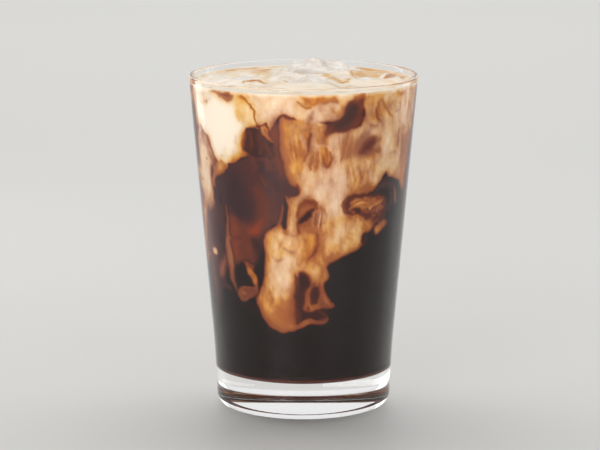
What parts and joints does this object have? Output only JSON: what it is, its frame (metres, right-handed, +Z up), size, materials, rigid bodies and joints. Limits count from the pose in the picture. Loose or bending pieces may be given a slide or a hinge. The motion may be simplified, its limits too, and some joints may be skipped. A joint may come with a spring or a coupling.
{
  "type": "iced cold brew with sweet cream in a glass",
  "caption": "Tapered clear drinking glass filled with dark cold brew, cream plumes sinking along the wall from a cream layer, and ice cubes standing out of the surface.",
  "frame": {"origin": "centre of the foot, on the surface that the glass stands on", "axes": "+Z up the axis of the glass, -Y towards the side that the picture shows, +X to that side's right"},
  "size_m": [0.0898, 0.0898, 0.1363],
  "materials": {
    "clear_glass": "clear, polished",
    "cold_brew": "wet, very dark brown coffee",
    "sweet_cream": "wet, pale tan cream",
    "ice": "wet, milky ice with a film of cream"
  },
  "bodies": {
    "root": {"glass": "clear_glass", "cold_brew": "cold_brew", "sweet_cream": "sweet_cream", "ice_back": "ice", "ice_front": "ice", "ice_right": "ice", "ice_left": "ice"}
  },
  "joints": []
}
